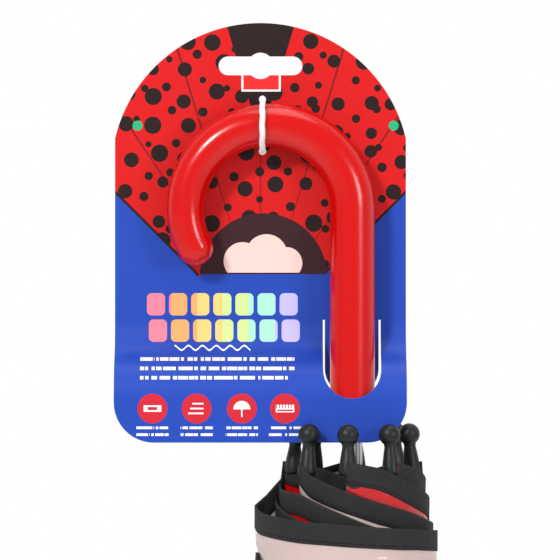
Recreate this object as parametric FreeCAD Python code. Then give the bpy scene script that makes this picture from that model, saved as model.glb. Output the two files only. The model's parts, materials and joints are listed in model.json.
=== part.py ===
import FreeCAD, Part
import math
import os
from FreeCAD import Vector as V

# Child's manual umbrella, closed, hanging by its crook. Millimetres.
# +Z runs up the shaft from the ferrule's end face (the origin) to the crook.
# The crook curls towards -X. Ribs stand round the shaft, rib 1 near +X, counter-clockwise from above.

# ---- driving dimensions -------------------------------------------------------------------
TOTAL_LENGTH = 650.0      # ferrule end to top of crook
OPEN_RADIUS = 365.0       # shaft axis to the outside of a tip ball, umbrella open
RIB_COUNT = 8
RIB_START = -5.0          # azimuth of rib 1, degrees from +X

HANDLE_R = 11.2           # straight grip
CROOK_R = 41.7            # centreline of the bend
CROOK_SECTIONS = 10
CROOK_END_R = 9.3         # the grip thins towards its free end
CROOK_EXTRA = 28.0        # degrees that the bend curls on past the half circle
CROOK_THINS_AT = 60.0     # degrees round the bend where the thinning starts
HANDLE_RIM = 1.2
HANDLE_BOTTOM_Z = 486.0
HANDLE_SOCKET = 62.0      # depth of the shaft's hole in the handle

SHAFT_R = 5.0
SHAFT_WALL = 0.6
SHAFT_BOTTOM_Z = 8.0
RUNNING_GAP = 0.1         # radial, between the runner and the shaft
SEAT_GAP = 0.05           # radial, between the shaft and what is fixed on it

FERRULE_R = 6.2
FERRULE_NOSE = ((3.4, 0.0), (5.2, 0.9), (6.2, 3.2))    # (radius, height) up to the straight part
FERRULE_STRAIGHT = 18.0   # height at which the straight part ends
FERRULE_FLARE = 24.0
FERRULE_BASE_R = 8.0
FERRULE_H = 27.0
CAP_R = 15.0
CAP_H = 4.0
CAP_FLOOR_R = 9.0
CAP_RIM = (2.2, 2.9)      # lower and upper edge of the rim, above the cap's floor
CROWN_R = 10.6
CROWN_FLOOR = 2.2
CROWN_H = 6.5
CROWN_WIRE_R = 0.5
CROWN_CORE = 0.7          # wall left between the rib slots and the shaft
HINGE_R = 7.5             # circle of the rib hinges
HINGE_Z = 36.0
SLOT_W = 3.0              # rib and stretcher slots

RIB_R = 1.2
RIB_LENGTH = 446.0        # hinge to the rod's end, along the rib
RIB_CURVED = 330.0        # of which this much is bent to an even curve
RIB_TURN = 18.0           # degrees of that curve
TIP_RING_R = 28.7         # shaft axis to a rod's end, closed
EYE_R = 1.5
EYE_HOLE_R = 0.72

BALL_R = 5.4
BALL_SHIFT = 5.0          # ball centre beyond the rod's end
TIP_SKIRT = 20.0          # length of the tip's tapered socket below the ball centre
TIP_SKIRT_R = 2.9
TIP_NECK = 4.1            # from the ball centre down to where the taper starts
TIP_MOUTH_R = 4.6
TIP_MOUTH_H = 4.0
TIP_BORE_GAP = 0.05
TIP_EYE_R = 0.9           # hole through which the canopy's corner is sewn
TIP_EYE_X = 3.0
TIP_EYE_UP = 3.0

JOINT_AT = 195.0          # stretcher joint, along the rib
JOINT_OFFSET = 3.7        # towards the shaft from the rib's line
CLIP_R = 2.0
CLIP_LENGTH = 9.0
LUG_T = 1.2
LUG_R = 1.9
RIVET_R = 0.8
RIVET_GAP = 0.06
FORK_GAP = 0.15
CHEEK_T = 0.8
CHEEK_R = 1.45
FORK_CLEAR = 0.5          # from the lug to the stretcher's rod
FORK_ROOT = 1.2           # from the lug to the end of the fork's bridge
FORK_BRIDGE = 0.7
RIVET_HEAD_R = 1.3
RIVET_HEAD_H = 0.4

STRETCHER = 206.0         # rivet to runner end
STRETCHER_R = 1.1
RUNNER_PIN_R = 10.5       # circle on which the stretcher ends sit
PIN_ROOM = 0.15           # behind a stretcher's eye in its slot
RUNNER_R = 13.0
RUNNER_HUB_H = 10.0
RUNNER_SLEEVE_R = 8.4
RUNNER_SLEEVE_H = 36.0
RUNNER_GRIP_R = 11.0
RUNNER_GRIP_H = 3.4

CATCH_T = 1.0
CATCH_REACH = 2.4         # how far a catch stands out of the shaft
CATCH_L = 16.0
CATCH_GAP = 0.3
CATCH_FACE = 3.5          # height of the upright face behind the shoulder
CATCH_SINK = 0.6          # from the bore to the spring's foot
CATCH_HEEL = (-1.0, 3.0)  # the back edge: x, and height above the foot
CATCH_TOE = (0.1, 1.5)    # the lower end of the slope: depth in the wall, height above the foot
CATCH_SLOT_ENDS = (0.8, 1.2)
CATCH_SLOT_SIDE = 0.3
CATCH_SLOT_X = 1.0
STOP_R = 0.9
STOP_REACH = 1.6

FILM_T = 0.8
FILM_CLEAR = 1.9          # from the rib's surface to the film
FILM_HEM_R = 44.4
FILM_HEM_Z = 438.0
FILM_BOTTOM_Z = 47.0
FILM_SPLIT = 0.5          # gap between neighbouring half gores
FILM_MID = 0.32           # shares of the rib's length where the furled line is fixed
FILM_HIGH = 0.62

STRAP_W = 18.0
STRAP_T = 1.2
STRAP_GAP = 0.4
TAIL_HALF = 9.0           # the strap's end lies flat on the band, under the snap
TAIL_X = 2.64             # how far the flat end stands out from the band's inside
STRAP_Z = 405.0           # middle of the strap
LABEL_SIZE = (26.0, 12.0)
LABEL_T = 0.6
LABEL_GAP = 0.02
SNAP_R = 5.0
SNAP_H = 1.6
SNAP_EDGE = 0.6

CARD_W = 146.0
CARD_H = 210.0
CARD_T = 0.5
CARD_MID_X = -46.0
CARD_TOP_Z = 690.0
CARD_ARCH = 58.0          # height of the arched top
CARD_CORNER_R = 20.0
CARD_GAP = 0.8            # card face to handle
WINDOW_X = (-14.7, 14.3)
WINDOW_Z = (502.0, 541.0)
CUT_W = 1.0
HANG_SLOT = (42.0, 9.4)
HANG_BUMP_R = 6.6
HANG_SLOT_Z = 668.5
CORD_R = 1.4
CORD_X = -45.0
CORD_HOLE_GAP = 0.4
CORD_LOOP_GAP = 0.4       # between the cord and the crook
CORD_BACK_GAP = 0.3       # between the cord and the card's back

TOUCHING = 0.01           # closer than this counts as the same place
FAR = 100.0               # further than any cut has to reach

# ---- worked out ---------------------------------------------------------------------------
STEP = 360.0 / RIB_COUNT
CROOK_Z = TOTAL_LENGTH - HANDLE_R - CROOK_R
BEND_R = RIB_CURVED / math.radians(RIB_TURN)


def rib_point(lean, along, off=0.0):
    """A point of a rib that leaves its hinge at `lean` from the shaft: (radius, height, direction)."""
    bent = min(along, RIB_CURVED)
    heading = lean - bent / BEND_R
    r = HINGE_R + BEND_R * (math.cos(heading) - math.cos(lean))
    z = HINGE_Z + BEND_R * (math.sin(lean) - math.sin(heading))
    r += (along - bent) * math.sin(heading)
    z += (along - bent) * math.cos(heading)
    return r - off * math.cos(heading), z + off * math.sin(heading), heading


def lean_for(radius, along):
    """The lean at the hinge that puts the rib's point at `along` on this radius."""
    r, z, _ = rib_point(0.0, along)
    reach = math.hypot(r - HINGE_R, z - HINGE_Z)
    return math.asin((radius - HINGE_R) / reach) - math.atan2(r - HINGE_R, z - HINGE_Z)


CLOSED = lean_for(TIP_RING_R, RIB_LENGTH)
OPEN = lean_for(OPEN_RADIUS - BALL_R, RIB_LENGTH + BALL_SHIFT)


def runner_height(lean):
    """Height of the runner's pin circle, and the stretcher's lean, for a rib's lean."""
    r, z, _ = rib_point(lean, JOINT_AT, JOINT_OFFSET)
    tilt = math.asin((r - RUNNER_PIN_R) / STRETCHER)
    return z + STRETCHER * math.cos(tilt), tilt


RUNNER_Z, STRETCHER_TILT = runner_height(CLOSED)
RUNNER_OPEN_Z, STRETCHER_TILT_OPEN = runner_height(OPEN)


# ---- helpers ------------------------------------------------------------------------------
def tube(r_out, r_in, z0, z1):
    body = Part.makeCylinder(r_out, z1 - z0, V(0, 0, z0))
    return body.cut(Part.makeCylinder(r_in, z1 - z0 + 2, V(0, 0, z0 - 1)))


def outward(solid):
    """The same solid with its faces turned outwards."""
    if solid.Volume < 0:
        solid.reverse()
    return solid


def revolved(points, angle=360.0):
    """A solid turned about Z from (radius, height) corners."""
    wire = Part.makePolygon([V(r, 0, z) for r, z in points + points[:1]])
    return outward(Part.Face(wire).revolve(V(0, 0, 0), V(0, 0, 1), angle))


def prism(corners, along):
    return outward(Part.Face(Part.makePolygon(corners + corners[:1])).extrude(along))


def about_z(shape, degrees):
    turned = shape.copy()
    turned.rotate(V(0, 0, 0), V(0, 0, 1), degrees)
    return turned


def plate(points, thickness):
    """A flat piece in the XZ plane, centred on y = 0."""
    return prism([V(x, -thickness / 2, z) for x, z in points], V(0, thickness, 0))


def rod(radius, start, end):
    along = end.sub(start)
    return Part.makeCylinder(radius, along.Length, start, along)


def cross_pin(radius, width, x, z):
    """A cylinder along Y through (x, z)."""
    return Part.makeCylinder(radius, width, V(x, -width / 2, z), V(0, 1, 0))


def save(name, shape):
    shape.exportStep("parts/" + name + ".step")


# ---- shaft, handle and ferrule ------------------------------------------------------------
def catch_spring(shoulder_z, up):
    """A thin wedge that stands out of the shaft, square at its shoulder and sloping away from it."""
    inner = SHAFT_R - SHAFT_WALL - CATCH_SINK
    foot_z = shoulder_z - up * CATCH_L
    heel_x, heel_up = CATCH_HEEL
    toe_in, toe_up = CATCH_TOE
    corners = [(SHAFT_R + CATCH_REACH, shoulder_z), (heel_x, shoulder_z), (heel_x, foot_z + up * heel_up),
               (inner, foot_z), (SHAFT_R - toe_in, foot_z + up * toe_up),
               (SHAFT_R + CATCH_REACH, shoulder_z - up * CATCH_FACE)]
    return plate(corners, CATCH_T)


def catch_slot(shoulder_z, up):
    past_shoulder, past_foot = CATCH_SLOT_ENDS
    z0, z1 = sorted((shoulder_z + up * past_shoulder, shoulder_z - up * (CATCH_L + past_foot)))
    half = CATCH_T / 2 + CATCH_SLOT_SIDE
    return Part.makeBox(2 * SHAFT_R, 2 * half, z1 - z0, V(CATCH_SLOT_X, -half, z0))


LOWER_SHOULDER = RUNNER_Z - RUNNER_HUB_H / 2 - CATCH_GAP
UPPER_SHOULDER = RUNNER_OPEN_Z - RUNNER_HUB_H / 2 + RUNNER_SLEEVE_H + CATCH_GAP
STOP_Z = RUNNER_OPEN_Z - RUNNER_HUB_H / 2 - STOP_R - CATCH_GAP
SHAFT_TOP_Z = HANDLE_BOTTOM_Z + HANDLE_SOCKET

shaft = tube(SHAFT_R, SHAFT_R - SHAFT_WALL, SHAFT_BOTTOM_Z, SHAFT_TOP_Z)
shaft = shaft.cut(catch_slot(LOWER_SHOULDER, 1)).cut(catch_slot(UPPER_SHOULDER, -1))
shaft = shaft.cut(cross_pin(STOP_R, 4 * SHAFT_R, 0, STOP_Z))

ferrule = revolved([(0, 0), *FERRULE_NOSE, (FERRULE_R, FERRULE_STRAIGHT),
                    (FERRULE_BASE_R, FERRULE_FLARE), (FERRULE_BASE_R, FERRULE_H), (0, FERRULE_H)])
ferrule = ferrule.cut(Part.makeCylinder(SHAFT_R + SEAT_GAP, FERRULE_H, V(0, 0, SHAFT_BOTTOM_Z)))

cap_z = FERRULE_H
rim_low, rim_high = CAP_RIM
cap = revolved([(SHAFT_R + SEAT_GAP, cap_z), (CAP_FLOOR_R, cap_z), (CAP_R, cap_z + rim_low),
                (CAP_R, cap_z + rim_high), (SHAFT_R + SEAT_GAP, cap_z + CAP_H)])


def handle():
    """Straight grip, then a bend whose section thins towards the free end, closed by a ball."""
    last = 180.0 + CROOK_EXTRA
    sections = []
    for i in range(CROOK_SECTIONS + 1):
        turn = last * i / CROOK_SECTIONS
        thinned = max(0.0, (turn - CROOK_THINS_AT) / (last - CROOK_THINS_AT))
        radius = HANDLE_R + (CROOK_END_R - HANDLE_R) * thinned
        a = math.radians(turn)
        end = V(CROOK_R * (math.cos(a) - 1), 0, CROOK_Z + CROOK_R * math.sin(a))
        heading = V(-math.sin(a), 0, math.cos(a))
        sections.append(Part.Wire(Part.makeCircle(radius, end, heading)))
    bend = Part.makeLoft(sections, True, False)
    grip = Part.makeCylinder(HANDLE_R, CROOK_Z - HANDLE_BOTTOM_Z, V(0, 0, HANDLE_BOTTOM_Z))
    rim = [e for e in grip.Edges if abs(e.CenterOfMass.z - HANDLE_BOTTOM_Z) < TOUCHING]
    grip = grip.makeChamfer(HANDLE_RIM, rim)
    body = grip.fuse(bend).fuse(Part.makeSphere(CROOK_END_R, end)).removeSplitter()
    return body.cut(Part.makeCylinder(SHAFT_R + SEAT_GAP, HANDLE_SOCKET + 1, V(0, 0, HANDLE_BOTTOM_Z - 1)))


# ---- crown --------------------------------------------------------------------------------
def slotted(hub, inner, z0, z1):
    """Cuts the ring of radial slots, open outwards."""
    for k in range(RIB_COUNT):
        slot = Part.makeBox(3 * RUNNER_R, SLOT_W, z1 - z0, V(inner, -SLOT_W / 2, z0))
        hub = hub.cut(about_z(slot, RIB_START + STEP * k))
    return hub


crown_z = cap_z + CAP_H
crown = tube(CROWN_R, SHAFT_R + SEAT_GAP, crown_z, HINGE_Z + CROWN_H / 2)
crown = slotted(crown, SHAFT_R + CROWN_CORE, crown_z + CROWN_FLOOR, HINGE_Z + CROWN_H)
crown = crown.cut(Part.makeTorus(HINGE_R, CROWN_WIRE_R + SEAT_GAP, V(0, 0, HINGE_Z)))
crown_wire = Part.makeTorus(HINGE_R, CROWN_WIRE_R, V(0, 0, HINGE_Z))


# ---- one rib with its tip and stretcher, in the XZ plane -------------------------------------
def point(along, off=0.0):
    r, z, heading = rib_point(CLOSED, along, off)
    return V(r, 0, z), V(math.sin(heading), 0, math.cos(heading))


def rib():
    start, start_dir = point(0.0)
    bend_end, end_dir = point(RIB_CURVED)
    profile = Part.Face(Part.Wire(Part.makeCircle(RIB_R, start, start_dir)))
    centre = V(HINGE_R - BEND_R * math.cos(CLOSED), 0, HINGE_Z + BEND_R * math.sin(CLOSED))
    curved = outward(profile.revolve(centre, V(0, -1, 0), RIB_TURN))
    straight = rod(RIB_R, bend_end, point(RIB_LENGTH)[0])
    eye = cross_pin(EYE_R, 2 * RIB_R, start.x, start.z)
    joint, _ = point(JOINT_AT, JOINT_OFFSET)
    seat, along = point(JOINT_AT)
    half = V(along.x * CLIP_LENGTH / 2, 0, along.z * CLIP_LENGTH / 2)
    clip = rod(CLIP_R, seat.sub(half), seat.add(half))
    lug = cross_pin(LUG_R, LUG_T, joint.x, joint.z)
    side = V(along.x * LUG_R, 0, along.z * LUG_R)
    corners = [joint.sub(side), seat.sub(side), seat.add(side), joint.add(side)]
    web = plate([(p.x, p.z) for p in corners], LUG_T)
    body = curved.fuse([straight, eye, clip, lug, web])
    body = body.cut(cross_pin(EYE_HOLE_R, 4 * RIB_R, start.x, start.z))
    return body.cut(cross_pin(RIVET_R + RIVET_GAP, 2 * LUG_T, joint.x, joint.z))


def rib_tip():
    """A ball on a tapered socket, with the hole that the canopy's corner is sewn through."""
    skirt = revolved([(0, -TIP_SKIRT), (TIP_MOUTH_R, -TIP_SKIRT), (TIP_MOUTH_R, TIP_MOUTH_H - TIP_SKIRT),
                      (TIP_SKIRT_R, -TIP_NECK), (TIP_SKIRT_R, 0), (0, 0)])
    body = skirt.fuse(Part.makeSphere(BALL_R))
    bore = Part.makeCylinder(RIB_R + TIP_BORE_GAP, TIP_SKIRT, V(0, 0, -TIP_SKIRT - BALL_SHIFT))
    eye_start = V(TIP_EYE_X, -BALL_R, TIP_EYE_UP - TIP_SKIRT)
    body = body.cut(bore).cut(Part.makeCylinder(TIP_EYE_R, 2 * BALL_R, eye_start, V(0, 1, 0)))
    end, along = point(RIB_LENGTH + BALL_SHIFT)
    body.rotate(V(0, 0, 0), V(0, 1, 0), math.degrees(math.atan2(along.x, along.z)))
    body.translate(end)
    return body


def stretcher():
    joint, _ = point(JOINT_AT, JOINT_OFFSET)
    end = V(RUNNER_PIN_R, 0, RUNNER_Z)
    along = end.sub(joint).normalize()
    gap = LUG_T / 2 + FORK_GAP
    neck = joint.add(V(along).multiply(LUG_R + FORK_ROOT))
    body = rod(STRETCHER_R, joint.add(V(along).multiply(LUG_R + FORK_CLEAR)), end)
    body = body.fuse(cross_pin(EYE_R, 2 * STRETCHER_R, end.x, end.z))
    side = V(along.z, 0, -along.x).multiply(CHEEK_R)
    for y in (-gap - CHEEK_T, gap):
        corners = [joint.add(side), neck.add(side), neck.sub(side), joint.sub(side)]
        arm = prism([V(p.x, y, p.z) for p in corners], V(0, CHEEK_T, 0))
        body = body.fuse(arm).fuse(Part.makeCylinder(CHEEK_R, CHEEK_T, V(joint.x, y, joint.z), V(0, 1, 0)))
    foot = neck.sub(V(along).multiply(FORK_BRIDGE))
    corners = [foot.add(side), neck.add(side), neck.sub(side), foot.sub(side)]
    wide = 2 * (gap + CHEEK_T)
    body = body.fuse(plate([(p.x, p.z) for p in corners], wide))
    body = body.cut(cross_pin(RIVET_R, 2 * wide, joint.x, joint.z))
    rivet = cross_pin(RIVET_R, wide, joint.x, joint.z)
    for y in (-wide / 2 - RIVET_HEAD_H, wide / 2):
        head = Part.makeCylinder(RIVET_HEAD_R, RIVET_HEAD_H, V(joint.x, y, joint.z), V(0, 1, 0))
        rivet = rivet.fuse(head)
    return Part.makeCompound([body, rivet])


# ---- runner -------------------------------------------------------------------------------
def runner():
    z0 = RUNNER_Z - RUNNER_HUB_H / 2
    z1 = z0 + RUNNER_SLEEVE_H
    body = Part.makeCylinder(RUNNER_R, RUNNER_HUB_H, V(0, 0, z0))
    body = slotted(body, RUNNER_PIN_R - EYE_R - PIN_ROOM, z0 - 1, z0 + RUNNER_HUB_H + 1)
    body = body.fuse(Part.makeCylinder(RUNNER_SLEEVE_R, RUNNER_SLEEVE_H, V(0, 0, z0)))
    grip = Part.makeCylinder(RUNNER_GRIP_R, RUNNER_GRIP_H, V(0, 0, z1 - RUNNER_GRIP_H))
    body = body.fuse(grip).removeSplitter()
    return body.cut(Part.makeCylinder(SHAFT_R + RUNNING_GAP, RUNNER_SLEEVE_H + 2, V(0, 0, z0 - 1)))


# ---- canopy, as plain half gores ----------------------------------------------------------
def film_radius(z_along):
    """Inner radius and height of the furled canopy beside a point of the rib."""
    r, z, _ = rib_point(CLOSED, z_along, -(RIB_R + FILM_CLEAR))
    return r, z


def film_shell(first, last):
    """A thin sector between two azimuths: along the rib's bow, then out to the hem."""
    low = film_radius((FILM_BOTTOM_Z - HINGE_Z) / math.cos(CLOSED))
    mid = film_radius(FILM_MID * RIB_LENGTH)
    top = film_radius(FILM_HIGH * RIB_LENGTH)
    hem = (FILM_HEM_R - FILM_T, FILM_HEM_Z)

    def side(extra):
        a, b, c, d = [V(r + extra, 0, z) for r, z in (low, mid, top, hem)]
        return [Part.Arc(a, b, c).toShape(), Part.LineSegment(c, d).toShape()], a, d

    inner, a0, d0 = side(0.0)
    outer, a1, d1 = side(FILM_T)
    edges = inner + [Part.LineSegment(d0, d1).toShape()] + outer + [Part.LineSegment(a1, a0).toShape()]
    face = Part.Face(Part.Wire(Part.__sortEdges__(edges)))
    share = math.degrees(FILM_SPLIT / 2 / FILM_HEM_R)
    face.rotate(V(0, 0, 0), V(0, 0, 1), first + share)
    return outward(face.revolve(V(0, 0, 0), V(0, 0, 1), last - first - 2 * share))


# ---- tie strap ----------------------------------------------------------------------------
STRAP_IN = FILM_HEM_R + STRAP_GAP


def tie_strap():
    band = tube(STRAP_IN + STRAP_T, STRAP_IN, STRAP_Z - STRAP_W / 2, STRAP_Z + STRAP_W / 2)
    corner = V(-STRAP_IN - TAIL_X, -TAIL_HALF, STRAP_Z - STRAP_W / 2)
    tail = Part.makeBox(TAIL_X, 2 * TAIL_HALF, STRAP_W, corner)
    tail = tail.cut(Part.makeCylinder(STRAP_IN, TOTAL_LENGTH))
    return band.fuse(tail).removeSplitter()


def name_label():
    wide, high = LABEL_SIZE
    outer = STRAP_IN + STRAP_T
    ring = tube(outer + LABEL_T, outer + LABEL_GAP, STRAP_Z - high / 2, STRAP_Z + high / 2)
    window = Part.makeBox(wide, 3 * outer, high, V(-wide / 2, -3 * outer, STRAP_Z - high / 2))
    return ring.common(window)


def strap_snap():
    x = -STRAP_IN - TAIL_X
    cap_part = Part.makeCylinder(SNAP_R, SNAP_H, V(x - SNAP_H, 0, STRAP_Z), V(1, 0, 0))
    rim = [e for e in cap_part.Edges if abs(e.CenterOfMass.x - (x - SNAP_H)) < TOUCHING]
    return cap_part.makeFillet(SNAP_EDGE, rim)


# ---- hang card and its cord ---------------------------------------------------------------
CARD_Y = HANDLE_R + CARD_GAP + CARD_T / 2


def card_outline():
    """Front outline: straight sides, rounded lower corners, a low arch on top."""
    x0, x1 = CARD_MID_X - CARD_W / 2, CARD_MID_X + CARD_W / 2
    z0, z1 = CARD_TOP_Z - CARD_H, CARD_TOP_Z - CARD_ARCH
    c = CARD_CORNER_R
    k = c * (1 - math.sqrt(0.5))

    def at(x, z):
        return V(x, -FAR, z)

    edges = [Part.LineSegment(at(x0 + c, z0), at(x1 - c, z0)),
             Part.Arc(at(x1 - c, z0), at(x1 - k, z0 + k), at(x1, z0 + c)),
             Part.LineSegment(at(x1, z0 + c), at(x1, z1)),
             Part.Arc(at(x1, z1), at(CARD_MID_X, CARD_TOP_Z), at(x0, z1)),
             Part.LineSegment(at(x0, z1), at(x0, z0 + c)),
             Part.Arc(at(x0, z0 + c), at(x0 + k, z0 + k), at(x0 + c, z0))]
    face = Part.Face(Part.Wire([e.toShape() for e in edges]))
    return face.extrude(V(0, 2 * FAR, 0))


def card_sheet(x0, wide, z0, z1):
    """The bent sheet: behind the handle above, in front of it below, with an S bend between."""
    low, high = WINDOW_Z
    run = (high - low) / 2
    drop = CARD_Y
    radius = (run ** 2 + drop ** 2) / (2 * drop)
    half = math.atan2(drop, run)

    def path(offset):
        """The sheet's line from bottom to top, at a distance in front of its middle."""
        bottom, low_end = V(x0, -drop - offset, z0), V(x0, -drop - offset, low)
        high_end, top = V(x0, drop - offset, high), V(x0, drop - offset, z1)
        r_low, r_high = radius + offset, radius - offset
        y_low, y_high = radius - drop, drop - radius
        mid_low = V(x0, y_low - r_low * math.cos(half), low + r_low * math.sin(half))
        middle = V(x0, y_low - r_low * math.cos(2 * half), low + r_low * math.sin(2 * half))
        mid_high = V(x0, y_high + r_high * math.cos(half), high - r_high * math.sin(half))
        line = [Part.LineSegment(bottom, low_end), Part.Arc(low_end, mid_low, middle),
                Part.Arc(middle, mid_high, high_end), Part.LineSegment(high_end, top)]
        return [piece.toShape() for piece in line], bottom, top

    front, f0, f1 = path(CARD_T / 2)
    back, b0, b1 = path(-CARD_T / 2)
    edges = front + back + [Part.LineSegment(f0, b0).toShape(), Part.LineSegment(f1, b1).toShape()]
    face = Part.Face(Part.Wire(Part.__sortEdges__(edges)))
    return face.extrude(V(wide, 0, 0))


def hang_card():
    x0 = CARD_MID_X - CARD_W / 2
    sheet = card_sheet(x0, CARD_W, CARD_TOP_Z - CARD_H, CARD_TOP_Z)
    body = sheet.common(card_outline())
    wx0, wx1 = WINDOW_X
    radius = (wx1 - wx0) / 2
    low, high = WINDOW_Z
    opening = Part.makeBox(wx1 - wx0, 2 * FAR, high - low - radius, V(wx0, -FAR, low + radius))
    lower_end = V((wx0 + wx1) / 2, -FAR, low + radius)
    opening = opening.fuse(Part.makeCylinder(radius, 2 * FAR, lower_end, V(0, 1, 0)))
    body = body.cut(opening)
    wide, tall = HANG_SLOT
    corner = V(CARD_MID_X - (wide - tall) / 2, 0, HANG_SLOT_Z - tall / 2)
    slot = Part.makeBox(wide - tall, FAR, tall, corner)
    for x in (-1, 1):
        end = V(CARD_MID_X + x * (wide - tall) / 2, 0, HANG_SLOT_Z)
        slot = slot.fuse(Part.makeCylinder(tall / 2, FAR, end, V(0, 1, 0)))
    slot = slot.fuse(Part.makeCylinder(HANG_BUMP_R, FAR, V(CARD_MID_X, 0, HANG_SLOT_Z), V(0, 1, 0)))
    body = body.cut(slot)
    for z in (CORD_MID_Z - CORD_LOOP_R, CORD_MID_Z + CORD_LOOP_R):
        body = body.cut(Part.makeCylinder(CORD_R + CORD_HOLE_GAP, FAR, V(CORD_X, 0, z), V(0, 1, 0)))
    tongue_r = radius - CUT_W
    corner = V(wx0 + CUT_W, CARD_Y - CARD_T / 2, low + radius)
    tongue = Part.makeBox(2 * tongue_r, CARD_T, high - low - radius, corner)
    round_end = V((wx0 + wx1) / 2, CARD_Y - CARD_T / 2, low + radius)
    tongue = tongue.fuse(Part.makeCylinder(tongue_r, CARD_T, round_end, V(0, 1, 0)))
    return body.fuse(tongue).removeSplitter()


CORD_LOOP_R = HANDLE_R + CORD_R + CORD_LOOP_GAP
CORD_MID_Z = CROOK_Z + math.sqrt(CROOK_R ** 2 - (CORD_X + CROOK_R) ** 2)


def card_cord():
    """One closed loop: round the front of the crook, through the card, and across behind it."""
    back = CARD_Y + CARD_T / 2 + CORD_R + CORD_BACK_GAP
    bend = 2 * CORD_R
    r = CORD_LOOP_R

    def at(y, z):
        return V(CORD_X, y, CORD_MID_Z + z)

    k = bend * (1 - math.sqrt(0.5))
    edges = [Part.Arc(at(0, r), at(-r, 0), at(0, -r)), Part.LineSegment(at(0, -r), at(back - bend, -r)),
             Part.Arc(at(back - bend, -r), at(back - k, -r + k), at(back, -r + bend)),
             Part.LineSegment(at(back, -r + bend), at(back, r - bend)),
             Part.Arc(at(back, r - bend), at(back - k, r - k), at(back - bend, r)),
             Part.LineSegment(at(back - bend, r), at(0, r))]
    pieces = []
    for edge in edges:
        line = edge.toShape()
        start = line.valueAt(line.FirstParameter)
        heading = line.tangentAt(line.FirstParameter)
        profile = Part.Wire(Part.makeCircle(CORD_R, start, heading))
        pieces.append(Part.Wire(line).makePipe(Part.Face(profile)))
    return pieces[0].fuse(pieces[1:]).removeSplitter()


# ---- build --------------------------------------------------------------------------------
os.makedirs("parts", exist_ok=True)
save("shaft_tube", shaft)
save("handle_crook", handle())
save("ferrule", ferrule)
save("canopy_cap", cap)
save("crown", crown)
save("crown_wire", crown_wire)
save("stop_pin", cross_pin(STOP_R, 2 * (SHAFT_R + STOP_REACH), 0, STOP_Z))
save("lower_catch", catch_spring(LOWER_SHOULDER, 1))
save("upper_catch", catch_spring(UPPER_SHOULDER, -1))
save("runner", runner())
save("tie_strap", tie_strap())
save("name_label", name_label())
save("strap_snap", strap_snap())
save("hang_card", hang_card())
save("card_cord", card_cord())

one_rib, one_tip, one_stretcher = rib(), rib_tip(), stretcher()
for k in range(RIB_COUNT):
    azimuth = RIB_START + STEP * k
    save("rib_%d" % (k + 1), about_z(one_rib, azimuth))
    save("rib_tip_%d" % (k + 1), about_z(one_tip, azimuth))
    save("stretcher_%d" % (k + 1), about_z(one_stretcher, azimuth))
    save("gore_%d_start" % (k + 1), film_shell(azimuth, azimuth + STEP / 2))
    save("gore_%d_end" % (k + 1), film_shell(azimuth + STEP / 2, azimuth + STEP))

print("rib lean closed %.4f open %.4f" % (math.degrees(CLOSED), math.degrees(OPEN)))
print("runner closed %.4f open %.4f travel %.4f" % (RUNNER_Z, RUNNER_OPEN_Z, RUNNER_Z - RUNNER_OPEN_Z))
tilts = [math.degrees(tilt) for tilt in (STRETCHER_TILT, STRETCHER_TILT_OPEN)]
print("stretcher tilt closed %.4f open %.4f" % tuple(tilts))
jr, jz, _ = rib_point(CLOSED, JOINT_AT, JOINT_OFFSET)
print("joint %.5f %.5f  shoulders %.4f %.4f stop %.4f" % (jr, jz, LOWER_SHOULDER, UPPER_SHOULDER, STOP_Z))
print("cord mid %.4f card y %.4f shaft top %.2f" % (CORD_MID_Z, CARD_Y, SHAFT_TOP_Z))
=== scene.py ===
# %% [markdown]
# A child's stick umbrella, furled and hanging by its crook on a shop card. The metal frame, the
# crown, the runner and the catches come ready-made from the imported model; this file makes what a
# mould, a film printer and a sewing machine make: the glossy crook, the ball tips, the film
# canopy with its black binding, the tie strap, the printed card and its cord.

# %% Load the frame
import json
import math

import bpy
import numpy as np
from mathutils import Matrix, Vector


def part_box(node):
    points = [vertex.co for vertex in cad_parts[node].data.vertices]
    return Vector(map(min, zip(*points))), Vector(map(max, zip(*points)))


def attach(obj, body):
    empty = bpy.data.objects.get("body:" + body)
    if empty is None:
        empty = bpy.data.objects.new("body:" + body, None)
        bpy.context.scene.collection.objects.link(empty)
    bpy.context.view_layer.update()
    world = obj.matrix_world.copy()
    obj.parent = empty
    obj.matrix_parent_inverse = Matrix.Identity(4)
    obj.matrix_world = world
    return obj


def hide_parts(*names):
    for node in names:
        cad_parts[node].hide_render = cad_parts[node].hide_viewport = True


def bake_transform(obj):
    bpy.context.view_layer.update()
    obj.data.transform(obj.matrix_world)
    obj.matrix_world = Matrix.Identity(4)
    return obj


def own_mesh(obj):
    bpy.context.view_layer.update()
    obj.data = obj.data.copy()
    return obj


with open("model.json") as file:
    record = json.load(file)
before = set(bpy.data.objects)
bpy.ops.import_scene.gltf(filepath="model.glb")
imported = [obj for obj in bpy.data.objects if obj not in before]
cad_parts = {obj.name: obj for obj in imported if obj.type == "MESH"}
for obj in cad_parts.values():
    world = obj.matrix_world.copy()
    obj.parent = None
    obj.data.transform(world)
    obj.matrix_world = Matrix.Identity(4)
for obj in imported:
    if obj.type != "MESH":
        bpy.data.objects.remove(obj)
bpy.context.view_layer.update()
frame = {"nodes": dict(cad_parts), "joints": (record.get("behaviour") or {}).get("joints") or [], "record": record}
JOINTS = {joint["name"]: joint for joint in frame["joints"]}
RATIOS = {c["joint"]: c["ratio"] for c in frame["record"]["behaviour"]["couplings"]}
TRAVEL = JOINTS["runner_slide"]["range_m"][1]
MM = 0.001

# %% [markdown]
# ## The camera and the light
# A long lens far away keeps the card and the crook almost free of perspective. The light is the
# plain product kind: a small soft box high on the left that draws the streaks on the crook, a
# wider and weaker one on the right, and one overhead.

# %% Camera and light
VIEW_WIDTH = 280 * MM
VIEW_CENTRE = Vector((-36.2 * MM, 0, 561 * MM))
VIEW_DISTANCE = 3.0
SENSOR = 36.0

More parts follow.
